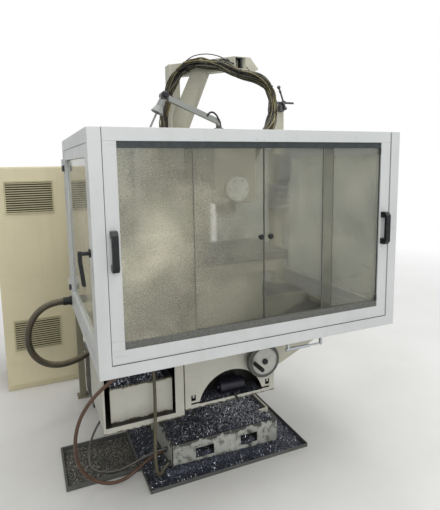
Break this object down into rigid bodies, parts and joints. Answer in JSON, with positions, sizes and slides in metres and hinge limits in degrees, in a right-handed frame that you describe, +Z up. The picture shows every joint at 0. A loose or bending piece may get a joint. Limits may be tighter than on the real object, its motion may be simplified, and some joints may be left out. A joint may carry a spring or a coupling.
{
  "type": "universal milling machine with glazed safety enclosure",
  "caption": "Knee-type universal milling machine inside a glazed aluminium enclosure, with cable boom, work lamp, handwheel, chip bin, floor pan, hoses and electrical cabinet.",
  "frame": {"origin": "on the floor, midway between the base casting's sides and level with the column's foot", "axes": "+Z up, -Y towards the operator, +X to the operator's right"},
  "size_m": [1.9217, 2.1, 2.2424],
  "materials": {
    "cream_paint": "satin, worn",
    "cabinet_paint": "satin",
    "light_profile": "satin, scuffed",
    "dark_track": "matte",
    "clear_pane": "hazy, dirty",
    "black_plastic": "satin",
    "bare_steel": "satin",
    "dark_steel": "satin, chip covered",
    "tray_sheet": "dirty",
    "motor_paint": "satin",
    "table_iron": "machined",
    "conduit_skin": "matte",
    "brown_hose": "matte",
    "grey_hose": "matte",
    "olive_hose": "matte",
    "cable_skin": "matte",
    "wheel_grey": "satin",
    "wheel_white": "satin",
    "lamp_grey": "satin",
    "unit_grey": "satin"
  },
  "bodies": {
    "machine_base": {"drip_pan": "tray_sheet", "floor_tray": "tray_sheet", "base_casting": "cream_paint", "guard_strip": "wheel_white", "column": "cream_paint", "lift_screw": "bare_steel", "coolant_tank": "dark_steel", "rear_post": "unit_grey", "boom_frame": "cream_paint", "cable_riser": "cable_skin", "cable_loop": "cable_skin", "cable_ties": "black_plastic", "conduit": "conduit_skin", "coolant_hose": "brown_hose", "drain_hose": "grey_hose", "air_hose": "olive_hose", "cabinet_body": "cabinet_paint", "cable_duct": "unit_grey"},
    "cabinet_leaf": {"cabinet_door": "cabinet_paint", "cabinet_louvres": "cabinet_paint"},
    "knee": {"knee_casting": "cream_paint", "knee_panel": "cream_paint", "drive_motor": "motor_paint", "chip_housing": "cream_paint", "right_hopper": "cream_paint", "lower_rails": "light_profile", "corner_posts": "light_profile", "right_pillar": "cream_paint", "pillar_clamp": "black_plastic", "pillar_units": "unit_grey", "side_top_rails": "light_profile", "window_frames": "light_profile", "fixed_panes": "clear_pane", "floor_sheet": "cream_paint", "rail_stay": "bare_steel", "conduit_coupling": "black_plastic", "side_hinges": "unit_grey"},
    "cross_table": {"table": "table_iron"},
    "bin": {"chip_bin": "cream_paint"},
    "front_door": {"door_frame": "light_profile", "door_tracks": "dark_track", "outer_panes": "clear_pane", "door_handles": "black_plastic"},
    "left_slider": {"left_pane": "clear_pane", "left_knob": "black_plastic"},
    "right_slider": {"right_pane": "clear_pane", "right_knob": "black_plastic"},
    "side_door": {"side_leaf_frame": "light_profile", "side_pane": "clear_pane"},
    "side_latch": {"side_lever": "black_plastic"},
    "handwheel": {"wheel_drum": "wheel_grey", "wheel_disc": "wheel_white", "wheel_cap": "black_plastic"},
    "wheel_grip": {"crank_grip": "black_plastic"},
    "ram_slide_body": {"ram": "cream_paint", "lamp_base": "lamp_grey"},
    "milling_head": {"head_housing": "cream_paint"},
    "spindle_unit": {"spindle": "bare_steel"},
    "lamp_arm_body": {"lamp_arm": "lamp_grey"},
    "lamp_head_body": {"lamp_head": "lamp_grey"}
  },
  "joints": [
    {"name": "knee_lift", "type": "slide", "parent": "machine_base", "child": "knee", "axis": [0, 0, 1], "range_m": [-0.15, 0.15], "deforming": ["conduit", "coolant_hose", "drain_hose", "air_hose"]},
    {"name": "table_cross", "type": "slide", "parent": "knee", "child": "cross_table", "axis": [1, 0, 0], "range_m": [-0.24, 0.38]},
    {"name": "bin_pull", "type": "slide", "parent": "knee", "child": "bin", "axis": [0, -1, 0], "range_m": [0, 0.3]},
    {"name": "front_door_lift", "type": "slide", "parent": "knee", "child": "front_door", "axis": [0, 0, 1], "range_m": [0, 0.6]},
    {"name": "left_pane_slide", "type": "slide", "parent": "front_door", "child": "left_slider", "axis": [-1, 0, 0], "range_m": [0, 0.26]},
    {"name": "right_pane_slide", "type": "slide", "parent": "front_door", "child": "right_slider", "axis": [1, 0, 0], "range_m": [0, 0.26]},
    {"name": "side_door_swing", "type": "hinge", "parent": "knee", "child": "side_door", "pos_m": [-0.712, -0.084, 1.2], "axis": [0, 0, -1], "range_deg": [0, 85]},
    {"name": "side_lever_turn", "type": "hinge", "parent": "side_door", "child": "side_latch", "pos_m": [-0.725, -1.045, 1.248], "axis": [1, 0, 0], "range_deg": [0, 90]},
    {"name": "handwheel_turn", "type": "hinge", "parent": "knee", "child": "handwheel", "pos_m": [0.159, -0.88, 0.571], "axis": [0, 1, 0], "continuous": true},
    {"name": "grip_spin", "type": "hinge", "parent": "handwheel", "child": "wheel_grip", "pos_m": [0.1, -0.94, 0.571], "axis": [0, 1, 0], "continuous": true},
    {"name": "ram_travel", "type": "slide", "parent": "machine_base", "child": "ram_slide_body", "axis": [0, 1, 0], "range_m": [-0.1, 0.3], "deforming": ["cable_loop"]},
    {"name": "head_swivel", "type": "hinge", "parent": "ram_slide_body", "child": "milling_head", "pos_m": [0, -0.66, 1.605], "axis": [0, 1, 0], "range_deg": [-45, 45]},
    {"name": "spindle_spin", "type": "hinge", "parent": "milling_head", "child": "spindle_unit", "pos_m": [0, -0.785, 1.34], "axis": [0, 0, 1], "continuous": true},
    {"name": "lamp_arm_turn", "type": "hinge", "parent": "ram_slide_body", "child": "lamp_arm_body", "pos_m": [0.037, -0.625, 1.8], "axis": [0, 0, 1], "range_deg": [-20, 60]},
    {"name": "lamp_head_tilt", "type": "hinge", "parent": "lamp_arm_body", "child": "lamp_head_body", "pos_m": [-0.262, -0.65, 1.93], "axis": [0, 1, 0], "range_deg": [-40, 60]},
    {"name": "cabinet_door_swing", "type": "hinge", "parent": "machine_base", "child": "cabinet_leaf", "pos_m": [-1.121, 0.53, 0.8], "axis": [0, 0, -1], "range_deg": [0, 85]}
  ]
}
